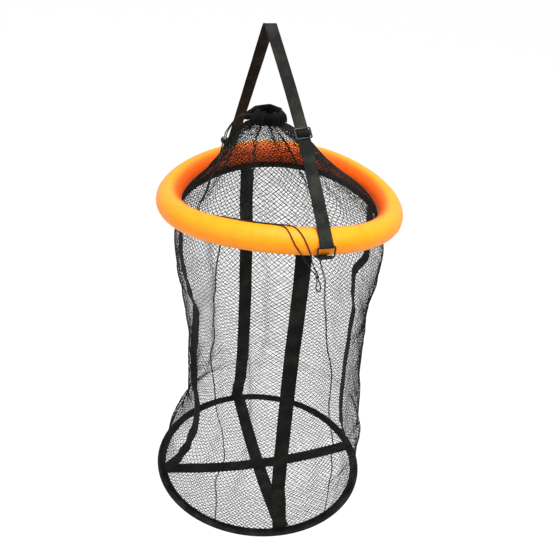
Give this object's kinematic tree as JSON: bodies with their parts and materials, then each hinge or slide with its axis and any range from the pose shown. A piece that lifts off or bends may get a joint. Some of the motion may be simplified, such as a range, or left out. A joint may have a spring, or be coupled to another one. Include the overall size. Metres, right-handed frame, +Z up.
{
  "type": "keep net",
  "caption": "Hanging fish keep net: padded float ring on a webbing strap, a net collar closed by a drawcord with a cord lock, and a long net tube spread by a wire hoop.",
  "frame": {"origin": "underside of the carry strap's top fold, at the middle of its width, where a hook or peg bears", "axes": "+Z up as the net hangs, -Y towards the strap leg that carries the tri-glide, +X to the right seen from there"},
  "size_m": [0.5204, 0.5383, 1.1124],
  "materials": {
    "sleeve_orange": "coated woven cloth, slightly shiny",
    "foam_white": "closed-cell foam",
    "webbing_black": "woven webbing and tape",
    "net_black": "knotless mesh",
    "cord_black": "braided cord",
    "plastic_black": "moulded, satin",
    "steel": "plain steel wire"
  },
  "bodies": {
    "strap": {"carry_strap": "webbing_black", "strap_return_ply": "webbing_black"},
    "triglide_body": {"triglide": "plastic_black"},
    "ring": {"float_foam": "foam_white", "float_foam_plug": "foam_white", "float_sleeve": "sleeve_orange", "ring_binding": "webbing_black", "front_anchor_tab": "webbing_black", "back_anchor_tab": "webbing_black", "collar_net": "net_black", "collar_hem": "webbing_black", "drawcord_in_hem": "cord_black", "drawcord_strand_a": "cord_black", "drawcord_strand_b": "cord_black", "drawcord_knot": "cord_black", "drawcord_end_loop": "cord_black", "side_net": "net_black", "body_strap_front": "webbing_black", "body_strap_right": "webbing_black", "body_strap_back": "webbing_black", "body_strap_left": "webbing_black"},
    "front_loop_body": {"front_loop": "plastic_black"},
    "back_loop_body": {"back_loop": "plastic_black"},
    "base": {"hoop_wire": "steel", "hoop_ferrule": "steel", "hoop_tape": "webbing_black", "floor_net": "net_black", "floor_strap_front_back": "webbing_black", "floor_strap_left_right": "webbing_black"},
    "lock": {"cord_lock_body": "plastic_black", "cord_lock_spring": "steel"},
    "lock_button": {"cord_lock_button": "plastic_black"}
  },
  "joints": [
    {"name": "net_swing", "type": "hinge", "parent": "strap", "child": "ring", "pos_m": [0.02539, -0.01667, -0.33551], "axis": [-0.1349, 0.9909, -0.0054], "range_deg": [-60, 60], "deforming": ["carry_strap", "strap_return_ply"]},
    {"name": "triglide_slide", "type": "slide", "parent": "strap", "child": "triglide_body", "axis": [-0.1396, 0.6368, 0.7583], "range_m": [-0.12, 0.14], "deforming": ["carry_strap", "strap_return_ply"]},
    {"name": "front_loop_pivot", "type": "hinge", "parent": "ring", "child": "front_loop_body", "pos_m": [0.06131, -0.2806, -0.35646], "axis": [0.9981, 0.0611, 0], "range_deg": [0, 90], "deforming": ["carry_strap", "strap_return_ply"]},
    {"name": "back_loop_pivot", "type": "hinge", "parent": "ring", "child": "back_loop_body", "pos_m": [-0.01053, 0.24726, -0.35936], "axis": [-0.9781, -0.2079, 0], "range_deg": [0, 90], "deforming": ["carry_strap"]},
    {"name": "net_collapse", "type": "slide", "parent": "ring", "child": "base", "axis": [0, 0, 1], "range_m": [0, 0.64], "deforming": ["side_net", "body_strap_front", "body_strap_right", "body_strap_back", "body_strap_left"]},
    {"name": "cord_lock_slide", "type": "slide", "parent": "ring", "child": "lock", "axis": [0.3307, 0.6513, 0.683], "range_m": [-0.042, 0.006]},
    {"name": "cord_lock_press", "type": "slide", "parent": "lock", "child": "lock_button", "axis": [0.0968, 0.6965, -0.711], "range_m": [0, 0.0014], "stiffness_N_per_m": 400, "springref_m": -0.002, "deforming": ["cord_lock_spring"]}
  ]
}
